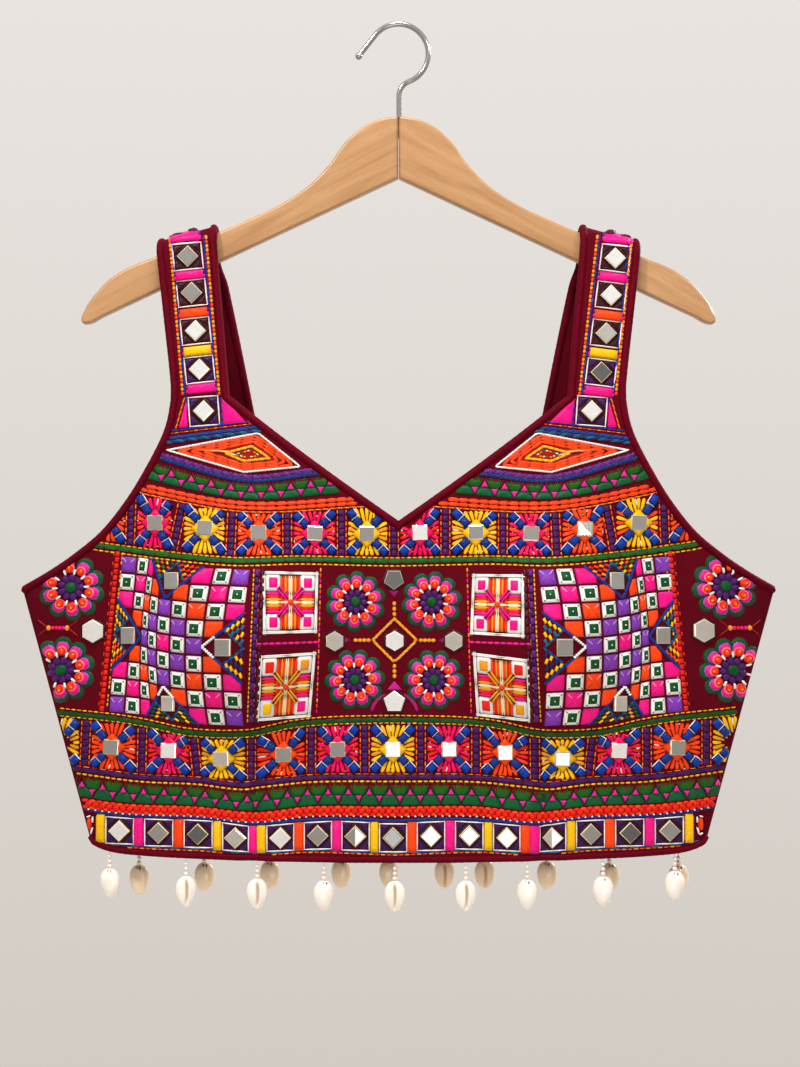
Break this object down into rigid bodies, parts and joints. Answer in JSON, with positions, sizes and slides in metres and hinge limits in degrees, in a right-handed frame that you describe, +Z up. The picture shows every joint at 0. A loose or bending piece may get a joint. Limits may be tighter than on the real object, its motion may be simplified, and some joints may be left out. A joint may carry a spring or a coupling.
{
  "type": "choli blouse on a hanger",
  "caption": "Sleeveless cropped choli blouse with broad straps, mirror-work front and cowrie drops at the hem, hung on a wooden hanger with a wire hook.",
  "frame": {"origin": "underside of the hook's crown, where a rail or peg carries the hanger", "axes": "+Z up; +X to the right of someone facing the front; +Y to the back, so the embroidered front faces -Y"},
  "size_m": [0.4846, 0.0911, 0.5661],
  "materials": {
    "embroidered_cloth": "maroon cotton densely covered with satin-stitch embroidery and small set mirrors",
    "plain_cloth": "plain matt maroon cotton",
    "binding": "rolled maroon bias binding",
    "embroidery_thread": "many-coloured floss with a soft sheen",
    "mirror": "small cut mirror glass",
    "cowrie_shell": "natural glossy cowrie with pearl beads",
    "hanger_wood": "pale beech, clear satin varnish",
    "hook_wire": "polished chromed wire"
  },
  "bodies": {
    "root": {"front_centre": "embroidered_cloth", "front_side_left": "embroidered_cloth", "front_side_right": "embroidered_cloth", "strap_left": "embroidered_cloth", "strap_right": "embroidered_cloth", "back_left": "plain_cloth", "back_right": "plain_cloth", "back_placket": "plain_cloth", "neck_binding": "binding", "armhole_binding_left": "binding", "armhole_binding_right": "binding", "hem_binding_front": "binding", "hem_binding_back": "binding", "hanger_arm_left": "hanger_wood", "hanger_arm_right": "hanger_wood", "hanger_hook": "hook_wire"},
    "front_drop_1": {"front_drop_1": "cowrie_shell"},
    "front_drop_2": {"front_drop_2": "cowrie_shell"},
    "front_drop_3": {"front_drop_3": "cowrie_shell"},
    "front_drop_4": {"front_drop_4": "cowrie_shell"},
    "front_drop_5": {"front_drop_5": "cowrie_shell"},
    "front_drop_6": {"front_drop_6": "cowrie_shell"},
    "front_drop_7": {"front_drop_7": "cowrie_shell"},
    "front_drop_8": {"front_drop_8": "cowrie_shell"},
    "front_drop_9": {"front_drop_9": "cowrie_shell"},
    "back_drop_1": {"back_drop_1": "cowrie_shell"},
    "back_drop_2": {"back_drop_2": "cowrie_shell"},
    "back_drop_3": {"back_drop_3": "cowrie_shell"},
    "back_drop_4": {"back_drop_4": "cowrie_shell"},
    "back_drop_5": {"back_drop_5": "cowrie_shell"},
    "back_drop_6": {"back_drop_6": "cowrie_shell"},
    "back_drop_7": {"back_drop_7": "cowrie_shell"},
    "back_drop_8": {"back_drop_8": "cowrie_shell"},
    "back_drop_9": {"back_drop_9": "cowrie_shell"},
    "back_drop_10": {"back_drop_10": "cowrie_shell"}
  },
  "joints": [
    {"name": "front_drop_1_swing", "type": "hinge", "parent": "root", "child": "front_drop_1", "pos_m": [-0.185, -0.00801, -0.53131], "axis": [1, 0, 0], "range_deg": [-75, 30]},
    {"name": "front_drop_2_swing", "type": "hinge", "parent": "root", "child": "front_drop_2", "pos_m": [-0.134, -0.02523, -0.5329], "axis": [1, 0, 0], "range_deg": [-75, 30]},
    {"name": "front_drop_3_swing", "type": "hinge", "parent": "root", "child": "front_drop_3", "pos_m": [-0.0885, -0.03442, -0.5329], "axis": [1, 0, 0], "range_deg": [-75, 30]},
    {"name": "front_drop_4_swing", "type": "hinge", "parent": "root", "child": "front_drop_4", "pos_m": [-0.0465, -0.03929, -0.5329], "axis": [1, 0, 0], "range_deg": [-75, 30]},
    {"name": "front_drop_5_swing", "type": "hinge", "parent": "root", "child": "front_drop_5", "pos_m": [-0.0022, -0.0411, -0.5329], "axis": [1, 0, 0], "range_deg": [-75, 30]},
    {"name": "front_drop_6_swing", "type": "hinge", "parent": "root", "child": "front_drop_6", "pos_m": [0.042, -0.03962, -0.5329], "axis": [1, 0, 0], "range_deg": [-75, 30]},
    {"name": "front_drop_7_swing", "type": "hinge", "parent": "root", "child": "front_drop_7", "pos_m": [0.0805, -0.03559, -0.5329], "axis": [1, 0, 0], "range_deg": [-75, 30]},
    {"name": "front_drop_8_swing", "type": "hinge", "parent": "root", "child": "front_drop_8", "pos_m": [0.129, -0.02647, -0.5329], "axis": [1, 0, 0], "range_deg": [-75, 30]},
    {"name": "front_drop_9_swing", "type": "hinge", "parent": "root", "child": "front_drop_9", "pos_m": [0.1765, -0.01164, -0.53233], "axis": [1, 0, 0], "range_deg": [-75, 10]},
    {"name": "back_drop_1_swing", "type": "hinge", "parent": "root", "child": "back_drop_1", "pos_m": [-0.169, 0.01117, -0.53268], "axis": [1, 0, 0], "range_deg": [-30, 75]},
    {"name": "back_drop_2_swing", "type": "hinge", "parent": "root", "child": "back_drop_2", "pos_m": [-0.1275, 0.0204, -0.5329], "axis": [1, 0, 0], "range_deg": [-30, 75]},
    {"name": "back_drop_3_swing", "type": "hinge", "parent": "root", "child": "back_drop_3", "pos_m": [-0.085, 0.02649, -0.5329], "axis": [1, 0, 0], "range_deg": [-30, 75]},
    {"name": "back_drop_4_swing", "type": "hinge", "parent": "root", "child": "back_drop_4", "pos_m": [-0.038, 0.03019, -0.5329], "axis": [1, 0, 0], "range_deg": [-30, 75]},
    {"name": "back_drop_5_swing", "type": "hinge", "parent": "root", "child": "back_drop_5", "pos_m": [-0.0063, 0.03108, -0.5329], "axis": [1, 0, 0], "range_deg": [-30, 75]},
    {"name": "back_drop_6_swing", "type": "hinge", "parent": "root", "child": "back_drop_6", "pos_m": [0.0305, 0.03052, -0.5329], "axis": [1, 0, 0], "range_deg": [-30, 75]},
    {"name": "back_drop_7_swing", "type": "hinge", "parent": "root", "child": "back_drop_7", "pos_m": [0.057, 0.02905, -0.5329], "axis": [1, 0, 0], "range_deg": [-30, 75]},
    {"name": "back_drop_8_swing", "type": "hinge", "parent": "root", "child": "back_drop_8", "pos_m": [0.098, 0.02492, -0.5329], "axis": [1, 0, 0], "range_deg": [-30, 75]},
    {"name": "back_drop_9_swing", "type": "hinge", "parent": "root", "child": "back_drop_9", "pos_m": [0.1385, 0.01832, -0.5329], "axis": [1, 0, 0], "range_deg": [-30, 75]},
    {"name": "back_drop_10_swing", "type": "hinge", "parent": "root", "child": "back_drop_10", "pos_m": [0.182, 0.00728, -0.53179], "axis": [1, 0, 0], "range_deg": [-10, 75]}
  ]
}
